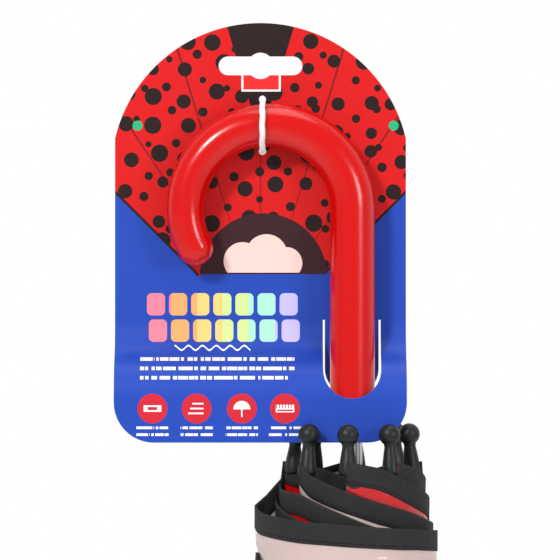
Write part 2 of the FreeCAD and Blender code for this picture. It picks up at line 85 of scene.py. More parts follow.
camera = bpy.data.objects.new("camera", bpy.data.cameras.new("camera"))
bpy.context.scene.collection.objects.link(camera)
camera.location = VIEW_CENTRE + Vector((0, -VIEW_DISTANCE, 0))
camera.rotation_euler = (math.radians(90), 0, 0)
camera.data.sensor_width = SENSOR
camera.data.lens = SENSOR * VIEW_DISTANCE / VIEW_WIDTH
camera.data.clip_end = 50
bpy.context.scene.camera = camera


def soft_box(name, place, size, power):
    """A square lamp that faces the middle of the view."""
    lamp = bpy.data.lights.new(name, "AREA")
    lamp.shape, lamp.size, lamp.energy = "SQUARE", size, power
    holder = bpy.data.objects.new(name, lamp)
    bpy.context.scene.collection.objects.link(holder)
    holder.location = place
    aim = VIEW_CENTRE - Vector(place)
    holder.rotation_euler = aim.to_track_quat("-Z", "Y").to_euler()


soft_box("key_light", (-0.9, -1.5, 1.5), 0.3, 25)
soft_box("fill_light", (1.3, -1.4, 0.9), 0.5, 11)
soft_box("top_light", (0.1, -0.2, 1.9), 0.8, 6)
bpy.context.scene.view_settings.view_transform = "Standard"

# %% [markdown]
# ## Shader sums as plain Python
# A finish is easier to read as a formula than as a web of nodes. `Value` wraps one socket, so
# `1 - dots * 0.5` adds its own Math nodes, and `Finish.add` is the one way to make any other node.


# %% A socket that does arithmetic
class Value:
    def __init__(self, finish, socket):
        self.finish, self.socket = finish, socket

    def math(self, operation, *others):
        inputs = dict(enumerate((self,) + others))
        return self.finish.add("ShaderNodeMath", {"operation": operation}, inputs)

    def __add__(self, other): return self.math("ADD", other)
    def __sub__(self, other): return self.math("SUBTRACT", other)
    def __mul__(self, other): return self.math("MULTIPLY", other)
    def __truediv__(self, other): return self.math("DIVIDE", other)
    def __lt__(self, other): return self.math("LESS_THAN", other)
    def __gt__(self, other): return self.math("GREATER_THAN", other)
    def __mod__(self, other): return self.math("FLOORED_MODULO", other)
    def __neg__(self): return self.math("MULTIPLY", -1)
    def __abs__(self): return self.math("ABSOLUTE")
    def __rsub__(self, other): return self.finish.number(other).math("SUBTRACT", self)
    __radd__, __rmul__ = __add__, __mul__

    def either(self, other): return self.math("MAXIMUM", other)


class Finish:
    """One material, built round a Principled shader."""

    def __init__(self, name):
        self.material = bpy.data.materials.new(name)
        self.material.use_nodes = True
        self.tree = self.material.node_tree
        self.shader = self.tree.nodes["Principled BSDF"]

    def add(self, kind, settings=None, inputs=None, output=0):
        node = self.tree.nodes.new(kind)
        for name, setting in (settings or {}).items():
            setattr(node, name, setting)
        for name, given in (inputs or {}).items():
            self.plug(node.inputs[name], given)
        return Value(self, node.outputs[output])

    def plug(self, socket, given):
        if isinstance(given, Value):
            self.tree.links.new(given.socket, socket)
        else:
            socket.default_value = given

    def number(self, value):
        node = self.tree.nodes.new("ShaderNodeValue")
        node.outputs[0].default_value = value
        return Value(self, node.outputs[0])

    def set(self, **inputs):
        for name, given in inputs.items():
            self.plug(self.shader.inputs[name.replace("_", " ")], given)
        return self

    def split(self, vector):
        """The x, y and z of a vector."""
        node = self.tree.nodes.new("ShaderNodeSeparateXYZ")
        self.plug(node.inputs[0], vector)
        return [Value(self, out) for out in node.outputs]

    def place(self):
        """The piece's own coordinates, in millimetres."""
        here = self.add("ShaderNodeTexCoord", output="Object")
        return self.add("ShaderNodeVectorMath", {"operation": "SCALE"}, {0: here, "Scale": 1 / MM})

    def print_place(self, layer="cut"):
        """Where a point lies on the cut pattern, in millimetres: across, then along."""
        here = self.add("ShaderNodeUVMap", {"uv_map": layer})
        return self.add("ShaderNodeVectorMath", {"operation": "SCALE"}, {0: here, "Scale": 1 / MM})

    def mottle(self, where, size, detail=2.0):
        """Soft cloudy noise from 0 to 1, with patches about `size` millimetres across."""
        return self.add("ShaderNodeTexNoise", {"noise_dimensions": "3D"},
                        {"Vector": where, "Scale": 1 / size, "Detail": detail})

    def mix(self, factor, first, second):
        """One colour over another. Colours are (r, g, b) or a value that carries a colour."""
        def colour(c): return c if isinstance(c, Value) else (*c, 1)
        node = self.tree.nodes.new("ShaderNodeMix")
        node.data_type = "RGBA"
        self.plug(node.inputs["Factor"], factor)
        self.plug(node.inputs[6], colour(first))
        self.plug(node.inputs[7], colour(second))
        return Value(self, node.outputs[2])

    def bump(self, height, distance, strength=1.0):
        """Relief of `distance` millimetres."""
        inputs = {"Height": height, "Distance": distance * MM, "Strength": strength}
        return self.add("ShaderNodeBump", {}, inputs)


# %% [markdown]
# ## The surround
# Behind the object the surround is white paper; in front it is a dimmer room. So glossy colours
# stay deep where they face the viewer, and pick up a bright rim where they turn away.

# %% Surround
class Surround(Finish):
    """The world's colour, made with the same helpers."""

    def __init__(self):
        world = bpy.data.worlds.new("studio")
        world.use_nodes = True
        bpy.context.scene.world = world
        self.tree = world.node_tree
        self.shader = world.node_tree.nodes["Background"]


DIM_ROOM, WHITE_PAPER = (0.40, 0.40, 0.41), (1, 1, 1)
PAPER_STARTS, PAPER_FULL = -0.35, 0.45

surround = Surround()
heading = surround.split(surround.add("ShaderNodeTexCoord", output="Generated"))[1]
paper = surround.add("ShaderNodeMapRange", {"interpolation_type": "SMOOTHSTEP"},
                     {0: heading, 1: PAPER_STARTS, 2: PAPER_FULL})
surround.set(Color=surround.mix(paper, DIM_ROOM, WHITE_PAPER), Strength=1.0)

# %% [markdown]
# ## Moulded plastic and metal
# The crook is polished, through-coloured plastic. A mould never leaves a perfect gloss, so its
# roughness drifts a little and a very low, wide ripple bends the reflections. The black mouldings
# have a finer, duller skin. The ribs are painted wire, and the shaft is bright plated tube with
# faint drawing lines along it.


# %% Hard finishes
def moulded(name, colour, rough, ripple, coat):
    finish = Finish(name)
    here = finish.place()
    drift = finish.mottle(here, 9.0)
    speck = finish.mottle(here, 0.35, 1.0)
    shade = finish.mix(drift * 0.35, colour, tuple(c * 0.8 for c in colour))
    relief = finish.bump(drift + speck * 0.06, ripple)
    finish.set(Base_Color=shade, Roughness=drift * 0.12 + rough + speck * 0.05, Normal=relief)
    return finish.set(Coat_Weight=coat, Coat_Roughness=0.04, IOR=1.49, Specular_IOR_Level=0.35)


crook_red = moulded("crook_red", (0.60, 0.0015, 0.0010), 0.13, 0.04, 0.1)
tip_black = moulded("tip_black", (0.008, 0.010, 0.009), 0.36, 0.03, 0.0)


def plated(name, colour, rough, metal):
    finish = Finish(name)
    x, y, z = finish.split(finish.place())
    stretched = finish.add("ShaderNodeCombineXYZ", {}, {0: x, 1: y, 2: z * 0.02})
    lines = finish.mottle(stretched, 0.3, 3.0)
    shade = finish.mix(lines * 0.3, colour, tuple(c * 0.75 for c in colour))
    finish.set(Base_Color=shade, Roughness=lines * 0.15 + rough, Metallic=metal)
    return finish.set(Normal=finish.bump(lines, 0.01))


shaft_plating = plated("shaft_plating", (0.72, 0.72, 0.74), 0.18, 1.0)
rib_paint = plated("rib_paint", (0.03, 0.03, 0.032), 0.35, 0.0)


# %% [markdown]
# ## Film, tape and cord
# The canopy is thin plastic film printed on the inside, so the colour sits under a hard gloss. Its
# print is laid out on the flat gore before sewing: round spots of two sizes on a jittered grid,
# and on two gores a plain pale patch along the hem.
# Because it reads the cut pattern's own coordinates, it stays put when the umbrella opens. The
# tape is a close plain weave with a line of lockstitch.


# %% Spots on a grid
def spots(finish, across, along, pitch, radius, seed):
    """Round spots, one to a cell, each shifted and sized by its cell's own random numbers."""
    column, row = (across / pitch).math("FLOOR"), (along / pitch).math("FLOOR")
    cell = finish.add("ShaderNodeCombineXYZ", {}, {0: column, 1: row, 2: seed})
    dice = finish.add("ShaderNodeTexWhiteNoise", {"noise_dimensions": "3D"}, {"Vector": cell}, "Color")
    shift_x, shift_y, size = finish.split(dice)
    dx = across - (column + 0.5 + (shift_x - 0.5) * 0.45) * pitch
    dy = along - (row + 0.5 + (shift_y - 0.5) * 0.45) * pitch
    return (dx * dx + dy * dy).math("SQRT") < (size * 0.4 + 0.7) * radius


SPOT_PITCH = 62.0
PATCH_FROM, PATCH_CURVE = 330.0, 600.0


def film(name, ground, spot_colour, pale=None):
    finish = Finish(name)
    here = finish.print_place()
    across, along, _ = finish.split(here)
    tone = finish.mottle(here, 60.0)
    shade = finish.mix(tone * 0.25, ground, tuple(c * 0.86 for c in ground))
    dots = spots(finish, across, along, SPOT_PITCH, 15.0, 1.0)
    small = spots(finish, across + SPOT_PITCH / 2, along + SPOT_PITCH / 2, SPOT_PITCH, 6.0, 5.0)
    shade = finish.mix(dots.either(small), shade, spot_colour)
    if pale:
        hem_patch = along - across * across / PATCH_CURVE > PATCH_FROM
        shade = finish.mix(hem_patch, shade, finish.mix(tone * 0.25, pale, tuple(c * 0.86 for c in pale)))
    crease = finish.mottle(here, 11.0, 3.0)
    finish.set(Base_Color=shade, Roughness=crease * 0.1 + 0.06, Normal=finish.bump(crease, 1.4, 0.8))
    return finish.set(Coat_Weight=0.5, Coat_Roughness=0.03, IOR=1.5)


FILM_INKS = (0.56, 0.005, 0.007), (0.018, 0.003, 0.003)
film_red = film("film_red", *FILM_INKS)
film_pale = film("film_pale", *FILM_INKS, pale=(0.60, 0.46, 0.43))


def woven(name, colour, rows_per_mm, stitch_from_edge=None, layer="cut"):
    finish = Finish(name)
    here = finish.print_place(layer)
    across, along, _ = finish.split(here)
    turn = 2 * math.pi * rows_per_mm
    weave = (across * turn).math("SINE") * (along * turn).math("SINE")
    wear = finish.mottle(here, 7.0, 3.0)
    shade = finish.mix(wear * 0.6, colour, tuple(c * 1.9 for c in colour))
    relief = weave * 0.5 + wear * 0.5
    if stitch_from_edge is not None:
        line = abs(along - stitch_from_edge) < 0.35
        dash = ((across / 2.6) % 1.0) < 0.72
        stitches = line * dash
        shade = finish.mix(stitches, shade, tuple(c * 0.3 for c in colour))
        relief = relief - line * 1.2 + stitches * 0.8
    finish.set(Base_Color=shade, Roughness=0.85 - wear * 0.15, Normal=finish.bump(relief, 0.12))
    return finish.set(Specular_IOR_Level=0.3)


binding_tape = woven("binding_tape", (0.014, 0.014, 0.015), 1.1, stitch_from_edge=1.8)
strap_webbing = woven("strap_webbing", (0.010, 0.010, 0.011), 0.9)
label_cloth = woven("label_cloth", (0.78, 0.78, 0.76), 2.0)


def cord_finish():
    finish = Finish("cord_cotton")
    fuzz = finish.mottle(finish.place(), 0.5, 4.0)
    shade = finish.mix(fuzz, (0.86, 0.86, 0.84), (0.7, 0.7, 0.68))
    finish.set(Base_Color=shade, Roughness=0.8 + fuzz * 0.1, Normal=finish.bump(fuzz, 0.15))
    return finish.set(Sheen_Weight=0.3)


cord_cotton = cord_finish()

# %% [markdown]
# ## The printed card
# The card is bent board with one printed face. Its picture is built from flat shapes, in
# millimetres on the card: a spotted red fan on blue, a dark half disc with a plain pale cloud,
# rows of coloured tiles where a title would stand, grey bars where small print would stand, and
# four red discs with simple signs. Each shape is a mask, and the masks are laid over each other
# in order, as a printer lays inks.

# %% Shapes on the card
CARD_MID = -46.0
FAN_BASE = 562.5
HEAD_R = 32.0


def disc(x, z, cx, cz, radius):
    dx, dz = x - cx, z - cz
    return (dx * dx + dz * dz).math("SQRT") < radius


def block(x, z, x0, x1, z0, z1):
    return (abs(x - (x0 + x1) / 2) < (x1 - x0) / 2) * (abs(z - (z0 + z1) / 2) < (z1 - z0) / 2)


def bars(finish, x, z, x0, x1, z_mid, height, seed):
    """A line of grey bars of uneven length, standing for small print."""
    wobble = finish.add("ShaderNodeTexNoise", {"noise_dimensions": "1D"},
                        {"W": x * 0.45 + seed, "Scale": 1.0, "Detail": 1.0})
    return block(x, z, x0, x1, z_mid - height / 2, z_mid + height / 2) * (wobble < 0.58)


def tiles(x, z, x0, pitch, count, z_mid, half_h):
    """A row of rounded tiles."""
    corner, half_w = 2.4, pitch / 2 - 1.0
    centre = x0 + (((x - x0) / pitch).math("FLOOR") + 0.5) * pitch
    dx = (abs(x - centre) - (half_w - corner)).either(0)
    dz = (abs(z - z_mid) - (half_h - corner)).either(0)
    return ((dx * dx + dz * dz).math("SQRT") < corner) * (x > x0) * (x < x0 + pitch * count)


def signs(x, z, centres, cz):
    """Four plain white signs: a band, a gust, a small umbrella and a ruler."""
    band, gust, brolly, ruler = centres
    mask = block(x, z, band - 4.4, band + 4.4, cz - 1.6, cz + 1.6)
    mask = mask - block(x, z, band - 2.4, band + 2.4, cz - 0.8, cz + 0.8)
    for k in range(3):
        row = cz + 2.4 * (k - 1)
        mask = mask.either(block(x, z, gust - 4.2 + k, gust + 3.4, row - 0.4, row + 0.4))
    dome = disc(x, z, brolly, cz - 0.4, 4.2) * (z > cz - 0.4)
    stick = block(x, z, brolly - 0.35, brolly + 0.35, cz - 4.2, cz)
    mask = mask.either(dome).either(stick)
    rule = block(x, z, ruler - 4.6, ruler + 4.6, cz - 1.9, cz + 1.9)
    ticks = (((x - ruler) / 1.5) % 1.0 < 0.3) * (z > cz + 0.1)
    return mask.either(rule * (1 - ticks) - block(x, z, ruler - 4.0, ruler + 4.0, cz - 1.3, cz - 0.5))


def card_print():
    finish = Finish("card_print")
    x, y, z = finish.split(finish.place())
    off = abs(x - CARD_MID)
    board, blue = (0.70, 0.69, 0.66), (0.012, 0.058, 0.42)
    red, dark = (0.62, 0.003, 0.004), (0.014, 0.003, 0.003)
    fan_edge = z - FAN_BASE - (off - 31.0)
    fan = (fan_edge > 0) * (z > FAN_BASE)
    angle = (x - CARD_MID).math("ARCTAN2", z - (FAN_BASE - 22))
    gore = abs((angle / math.radians(17.0)) % 1.0 - 0.5)
    fan_red = finish.mix(gore > 0.486, red, (0.22, 0.003, 0.003))
    dots = spots(finish, x, z, 15.0, 4.0, 2.0).either(spots(finish, x + 7.5, z + 7.5, 15.0, 2.2, 7.0))
    fan_red = finish.mix(dots, fan_red, dark)
    wedge = (off < (z - 632.0) * 0.3) * (z > 632.0)
    fan_red = finish.mix(wedge, fan_red, dark)
    shade = finish.mix(fan, blue, fan_red)
    shade = finish.mix((abs(fan_edge - 0.8) < 0.9) * (off > 31.0), shade, dark)
    head = disc(x, z, CARD_MID + 1.5, FAN_BASE, HEAD_R) * (z > FAN_BASE)
    shade = finish.mix(head, shade, (0.035, 0.008, 0.012))
    cloud = disc(x, z, CARD_MID - 9, FAN_BASE + 8, 9.5)
    cloud = cloud.either(disc(x, z, CARD_MID + 3, FAN_BASE + 11, 10.5))
    cloud = cloud.either(disc(x, z, CARD_MID + 13, FAN_BASE + 7, 8.0)) * (z > FAN_BASE + 2.2)
    shade = finish.mix(cloud, shade, (0.88, 0.62, 0.56))
    shade = finish.mix(head * (z < FAN_BASE + 1.4), shade, blue)
    hue = finish.add("ShaderNodeValToRGB", {}, {0: (x + 104.0) / 78.0})
    ramp = hue.socket.node.color_ramp
    ramp.interpolation = "CONSTANT"
    inks = [(0.9, 0.22, 0.3), (0.9, 0.4, 0.14), (0.85, 0.62, 0.2),
            (0.62, 0.8, 0.3), (0.4, 0.8, 0.62), (0.55, 0.5, 0.85)]
    ramp.elements[0].color, ramp.elements[1].color = (*inks[0], 1), (*inks[-1], 1)
    ramp.elements[1].position = 5 / 6
    for k, ink in enumerate(inks[1:-1]):
        ramp.elements.new((k + 1) / 6).color = (*ink, 1)
    title = tiles(x, z, -104.0, 11.1, 7, 548.8, 5.6).either(tiles(x, z, -103.0, 11.1, 7, 535.6, 5.6))
    shade = finish.mix(title, shade, hue)
    white = (0.86, 0.87, 0.9)
    wave = abs(z - 527.0 - (x * 0.9).math("SINE") * 1.1) < 0.45
    marks = wave * (abs(x + 70.0) < 19.0)
    for k, length in enumerate((77.0, 77.0, 74.0)):
        marks = marks.either(bars(finish, x, z, -106.0, -106.0 + length, 521.5 - 4.6 * k, 1.7, 11.0 * k))
    centres = (-99.7, -77.7, -55.2, -33.7)
    for k, cx in enumerate(centres):
        shade = finish.mix(disc(x, z, cx, 497.0, 7.4), shade, (0.60, 0.015, 0.03))
        for row in range(2):
            note = bars(finish, x, z, cx - 8.0, cx + 8.0, 487.4 - 3.4 * row, 1.3, 5.0 * k + row)
            marks = marks.either(note)
    shade = finish.mix(marks.either(signs(x, z, centres, 497.0)), shade, white)
    plate = block(x, z, -55.6, -35.8, 655.6, 668.4)
    shade = finish.mix(plate, shade, (0.8, 0.02, 0.02))
    rim = plate - block(x, z, -54.6, -36.8, 656.6, 667.4)
    shade = finish.mix(rim, shade, white)
    for spot_x in (-107.7, 20.9):
        shade = finish.mix(disc(x, z, spot_x, 638.5, 2.5), shade, (0.02, 0.42, 0.18))
    facing = finish.add("ShaderNodeNewGeometry", output="True Normal")
    to_object = {"vector_type": "NORMAL", "convert_from": "WORLD", "convert_to": "OBJECT"}
    toward = -finish.split(finish.add("ShaderNodeVectorTransform", to_object, {0: facing}))[1]
    shade = finish.mix(toward > 0.3, board, shade)
    tooth = finish.mottle(finish.place(), 0.8, 3.0)
    finish.set(Base_Color=shade, Roughness=0.42 + tooth * 0.12, Normal=finish.bump(tooth, 0.02))
    return finish.set(Coat_Weight=0.06, Coat_Roughness=0.2, Specular_IOR_Level=0.25)


card_ink = card_print()

# %% [markdown]
# ## Mesh helpers
# Three shapes cover most of the object: a grid of points, a profile turned round an axis, and a
# round section carried along a path. Apart from their flat ends, which are single many-sided faces,
# they keep their faces in quads so that smooth shading and bevels behave.


# %% Grids, turned shapes and tubes
def make_piece(name, points, faces, finish, uv=None, smooth=True):
    mesh = bpy.data.meshes.new(name)
    mesh.from_pydata([tuple(p) for p in points], [], faces)
    if uv is not None:
        layer = mesh.uv_layers.new(name="cut")
        for loop in mesh.loops:
            layer.data[loop.index].uv = uv[loop.vertex_index]
    mesh.polygons.foreach_set("use_smooth", [smooth] * len(mesh.polygons))
    mesh.materials.append(finish.material)
    mesh.update()
    piece = bpy.data.objects.new(name, mesh)
    bpy.context.scene.collection.objects.link(piece)
    return piece


def grid_faces(rows, columns, wrap=False):
    last = columns if wrap else columns - 1
    return [(r * columns + c, r * columns + (c + 1) % columns,
             (r + 1) * columns + (c + 1) % columns, (r + 1) * columns + c)
            for r in range(rows - 1) for c in range(last)]


def tube_along(name, path, radii, finish, around=40, lobes=0, lobe_depth=0.0, twist=0.0, closed=False):
    """A round or lobed section carried along a path of points that lies in one plane."""
    path = np.array(path, float)
    ahead = np.roll(path, -1, 0) - np.roll(path, 1, 0)
    if not closed:
        ahead[0], ahead[-1] = path[1] - path[0], path[-1] - path[-2]
    ahead /= np.linalg.norm(ahead, axis=1)[:, None]
    normal = np.cross(ahead[0], ahead[len(path) // 3])
    normal /= np.linalg.norm(normal)
    turn = np.linspace(0, 2 * math.pi, around, endpoint=False)
    points = []
    for i, (centre, heading) in enumerate(zip(path, ahead)):
        side = np.cross(heading, normal)
        spin = turn + twist * i
        radius = radii[i] * (1 + lobe_depth * np.cos(lobes * turn))
        points += [centre + radius[j] * (math.cos(spin[j]) * side + math.sin(spin[j]) * normal)
                   for j in range(around)]
    faces = grid_faces(len(path), around, wrap=True)
    if closed:
        start = (len(path) - 1) * around
        faces += [(start + c, start + (c + 1) % around, (c + 1) % around, c) for c in range(around)]
    else:
        faces.append(tuple(reversed(range(around))))
        faces.append(tuple(range((len(path) - 1) * around, len(path) * around)))
    return make_piece(name, points, faces, finish)


def turned(name, profile, origin, axis, finish, around=40, ring=False):
    """A profile of (radius, height) corners turned round an axis; a ring's profile is a closed loop."""
    axis = Vector(axis).normalized()
    side = axis.orthogonal().normalized()
    other = axis.cross(side)
    points = [Vector(origin) + axis * h + (side * math.cos(a) + other * math.sin(a)) * max(r, 1e-6)
              for r, h in profile for a in (2 * math.pi * j / around for j in range(around))]
    faces = grid_faces(len(profile), around, wrap=True)
    last = (len(profile) - 1) * around
    if ring:
        faces += [(last + c, last + (c + 1) % around, (c + 1) % around, c) for c in range(around)]
    else:
        faces += [tuple(reversed(range(around))), tuple(range(last, last + around))]
    return make_piece(name, points, faces, finish)


# %% [markdown]
# ## The crook
# The grip is one moulding: a straight length, then an even bend that curls past the half circle
# while its section thins, and a domed end. A path with a radius at each point gives all of it at
# once. The lower rim is rolled in slightly, as the mould leaves it.

# %% Crook
GRIP_R, BEND_R, END_R = 11.2 * MM, 41.7 * MM, 9.0 * MM
GRIP_LOW, GRIP_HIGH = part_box("handle_crook")
BEND_Z = GRIP_HIGH.z - GRIP_R - BEND_R
CURL, THINS_AT = math.radians(208), math.radians(60)
RIM_H = 3 * MM
RIM = ((0.0, 0.86), (0.5, 0.95), (1.4, 0.995), (3.0, 1.0))
STRAIGHT_STEPS, CURL_STEPS, END_STEPS = 24, 72, 12
path, radii = [], []
for drop, radius in RIM:
    path.append((0, 0, GRIP_LOW.z + drop * MM))
    radii.append(GRIP_R * radius)
for step in range(1, STRAIGHT_STEPS + 1):
    path.append((0, 0, GRIP_LOW.z + RIM_H + (BEND_Z - GRIP_LOW.z - RIM_H) * step / STRAIGHT_STEPS))
    radii.append(GRIP_R)
for step in range(1, CURL_STEPS + 1):
    a = CURL * step / CURL_STEPS
    thin = max(0.0, (a - THINS_AT) / (CURL - THINS_AT))
    path.append((BEND_R * (math.cos(a) - 1), 0, BEND_Z + BEND_R * math.sin(a)))
    radii.append(GRIP_R + (END_R - GRIP_R) * thin)
end, heading = Vector(path[-1]), Vector((-math.sin(CURL), 0, math.cos(CURL)))
for step in range(1, END_STEPS + 1):
    a = math.radians(90) * step / END_STEPS
    path.append(tuple(end + heading * END_R * math.sin(a)))
    radii.append(max(END_R * math.cos(a), 0.02 * MM))
crook = tube_along("crook", path, radii, crook_red, around=64)
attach(crook, "root")
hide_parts("handle_crook")
print("crook points", len(crook.data.vertices))

# %% [markdown]
# ## The ball tips
# Each rib ends in a black moulding: a tapered socket with a slight lip, a narrow neck and a ball.
# It is a turned shape, so one profile makes all eight, and each rides on its own rib.

# %% Ball tips
RIBS = 8
HINGE = JOINTS["rib_1_swing"]["pos_m"]
HINGE_R, HINGE_Z = math.hypot(HINGE[0], HINGE[1]), HINGE[2]
RIB_LEAN = math.radians(14.084)
RIB_BENT = 330 * MM
RIB_BEND_R = RIB_BENT / math.radians(18)
ROD_END = 446 * MM
BALL_AT = ROD_END + 5 * MM
BALL_R = 5.4    # this and the socket's profile below are in millimetres


def rib_point(along, off=0.0):
    """A point beside a closed rib that stands on +X, and the rib's direction there."""
    bent = min(along, RIB_BENT)
    lean = RIB_LEAN - bent / RIB_BEND_R
    r = HINGE_R + RIB_BEND_R * (math.cos(lean) - math.cos(RIB_LEAN)) + (along - bent) * math.sin(lean)
    z = HINGE_Z + RIB_BEND_R * (math.sin(RIB_LEAN) - math.sin(lean)) + (along - bent) * math.cos(lean)
    beside = np.array((r + off * math.cos(lean), 0, z - off * math.sin(lean)))
    return beside, (math.sin(lean), 0, math.cos(lean))


def rib_azimuth(number):
    return math.atan2(HINGE[1], HINGE[0]) + 2 * math.pi * (number - 1) / RIBS


def about_shaft(point, turn):
    c, s = math.cos(turn), math.sin(turn)
    return np.array((point[0] * c - point[1] * s, point[0] * s + point[1] * c, point[2]))


skirt = [(0, -20.0), (3.6, -20.0), (4.5, -19.6), (4.6, -18.6),
         (4.45, -16.0), (3.9, -12.0), (3.25, -8.0), (2.9, -6.0)]
ball = [(BALL_R * math.cos(a), BALL_R * math.sin(a))
        for a in np.linspace(math.radians(-54), math.radians(89), 18)]
tip_profile = [(r * MM, h * MM) for r, h in skirt + ball]
tip_centre, tip_heading = rib_point(BALL_AT)
for k in range(RIBS):
    turn = rib_azimuth(k + 1)
    tip = turned("ball_tip_%d" % (k + 1), tip_profile, about_shaft(tip_centre, turn),
                 about_shaft(tip_heading, turn), tip_black)
    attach(tip, "rib_%d" % (k + 1))
    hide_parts("rib_tip_%d" % (k + 1))

# %% [markdown]
# ## How the film folds
# Each gore is a triangle of film between two ribs. To furl it, its middle line is pulled out, laid
# round the bundle, and the two halves follow. Here each half gore turns about one slanted hinge
# line on its own rib, and every point of it turns by its own share: none at the rib, all of it at
# the middle line. A point's open place is drawn first, on the taut canopy, and its furled place is
# that point turned back. Both halves bring the middle line to the same place, so the gore stays
# whole, furled and open. The open canopy sags a little between its ribs, which keeps the middle
# line straight: a straight line is what can be folded.


# %% The open canopy and the turn back
def turn_about(points, place, axis, angle):
    """Points turned about a line; `angle` may differ from point to point."""
    axis = np.array(axis, float) / np.linalg.norm(axis)
    p = points - np.array(place)
    c, s = np.cos(angle)[..., None], np.sin(angle)[..., None]
    return np.array(place) + p * c + np.cross(axis, p) * s + axis * (p @ axis)[..., None] * (1 - c)


def turn_joint(points, joint, share):
    angle = share * RATIOS[joint] * TRAVEL * np.ones(points.shape[:-1])
    return turn_about(points, JOINTS[joint]["pos_m"], JOINTS[joint]["axis"], angle)


FILM_START, FILM_TIP = 6 * MM, 437 * MM


def smooth(x):
    x = np.clip(x, 0, 1)
    return x * x * (3 - 2 * x)


def film_off(along):
    """How far the film lies outside a rib: close to the wire, then over the tip's socket."""
    return (2.0 + 3.1 * smooth((along - 412 * MM) / (18 * MM))) * MM


CREASE = (60 * MM, 425 * MM)


def on_open_rib(number, along):
    """The film's place over an opened rib."""
    number = (number - 1) % RIBS + 1
    bent = np.minimum(along, RIB_BENT)
    lean = RIB_LEAN - bent / RIB_BEND_R
    r = HINGE_R + RIB_BEND_R * (np.cos(lean) - math.cos(RIB_LEAN)) + (along - bent) * np.sin(lean)
    z = HINGE_Z + RIB_BEND_R * (math.sin(RIB_LEAN) - np.sin(lean)) + (along - bent) * np.cos(lean)
    r, z = r + film_off(along) * np.cos(lean), z - film_off(along) * np.sin(lean)
    turn = rib_azimuth(number)
    return turn_joint(np.stack((r * math.cos(turn), r * math.sin(turn), z), -1), "rib_%d_swing" % number, 1)


def open_place(gore, along, across):
    """A point of the open gore: `across` runs from 0 at one rib to 2 at the next."""
    first, second = on_open_rib(gore, along), on_open_rib(gore + 1, along)
    low, high = [(on_open_rib(gore, s) + on_open_rib(gore + 1, s)) / 2 for s in np.array(CREASE)]
    straight = low + (high - low) * ((along - CREASE[0]) / (CREASE[1] - CREASE[0]))[..., None]
    u = (across / 2)[..., None]
    return first * (1 - u) + second * u + (straight - (first + second) / 2) * 4 * u * (1 - u)


def furl(points, gore, side, share):
    rib = gore if side == "start" else gore % RIBS + 1
    points = turn_joint(points, "rib_%d_swing" % rib, -1)
    return turn_joint(points, "gore_%d_%s_wrap" % (gore, side), -share)


# %% [markdown]
# ## The way round the bundle
# What is left open is how much each point turns. The film takes the shortest way from its rib to
# the middle line that keeps to the outside of the bundle, or, for the hidden half, to the inside.
# A small search finds it: a grid of places across the gore against shares of the turn, a cost for
# every step, and the cheapest walk from corner to corner, at eleven distances along the rib.

# %% The cheapest walk
CELLS, COLUMNS = 41, 49
MOVES = ((1, 0), (1, 1), (2, 1), (1, 2), (1, 3), (3, 1), (1, 4), (1, 5))
LEVELS = np.array((25, 60, 110, 150, 200, 250, 300, 350, 380, 410, 440)) * MM
WRAP = 165.0
BUNDLE_R = 41 * MM


def around(points, gore):
    """Angle round the shaft from the gore's first rib, in degrees, and radius."""
    turn = np.degrees(np.arctan2(points[..., 1], points[..., 0]) - rib_azimuth(gore))
    return (turn + 60) % 360 - 60, np.hypot(points[..., 0], points[..., 1])


def closed_rib_r(along):
    return rib_point(along, film_off(along))[0][0]


def toll(angle, radius, side, along):
    """How unwelcome a place is."""
    rib_r, fold_r = closed_rib_r(along), np.interp(along, LEVELS, FOLD_R)
    back = np.maximum(-3 - (angle if side == "start" else angle - 45), 0) / 5
    if side == "start":
        want = rib_r + (min(BUNDLE_R, fold_r) - rib_r) * np.clip(angle / WRAP, 0, 1)
        softness = np.interp(along, [250 * MM, 350 * MM], [8 * MM, 3 * MM])
        under, over = np.maximum(want - radius, 0) / softness, np.maximum(radius - want, 0) / (2.5 * MM)
    else:
        room = np.interp(along, [250 * MM, 350 * MM], [10 * MM, 15 * MM])
        under, over = np.maximum(room - radius, 0) / (2 * MM), np.maximum(radius - rib_r, 0) / (2 * MM)
    return under ** 2 + over ** 2 + back ** 2


def way_round(side, along):
    """Place across the half gore, and share of the turn, at even steps of the cheapest walk."""
    t = np.linspace(0, 1, CELLS)
    v, share = np.meshgrid(t, t, indexing="ij")
    spots = furl(open_place(1, np.full_like(v, along), v if side == "start" else 2 - v), 1, side, share)
    price = 1 + toll(*around(spots, 1), side, along)
    cost, came = np.full((CELLS, CELLS), 1e9), np.zeros((CELLS, CELLS), int)
    cost[0, 0] = 0
    for i in range(1, CELLS):
        for m, (di, dj) in enumerate(MOVES):
            if i < di:
                continue
            step = np.linalg.norm(spots[i, dj:] - spots[i - di, :CELLS - dj], axis=-1) * price[i, dj:]
            step += cost[i - di, :CELLS - dj]
            better = step < cost[i, dj:]
            cost[i, dj:][better], came[i, dj:][better] = step[better], m
    walk = [(CELLS - 1, CELLS - 1)]
    while walk[-1] != (0, 0):
        i, j = walk[-1]
        di, dj = MOVES[came[i, j]]
        walk.append((i - di, j - dj))
    walk = np.array(walk[::-1])
    places = spots[walk[:, 0], walk[:, 1]]
    gone = np.concatenate(([0], np.cumsum(np.linalg.norm(np.diff(places, axis=0), axis=1))))
    even = np.linspace(0, gone[-1], COLUMNS)
    kernel = np.hanning(7) / np.hanning(7).sum()
    found = []
    for values in (t[walk[:, 0]], t[walk[:, 1]]):
        line = np.interp(even, gone, values)
        padded = np.concatenate((2 * line[0] - line[3:0:-1], line, 2 * line[-1] - line[-2:-5:-1]))
        found.append(np.convolve(padded, kernel, "valid"))
    return found


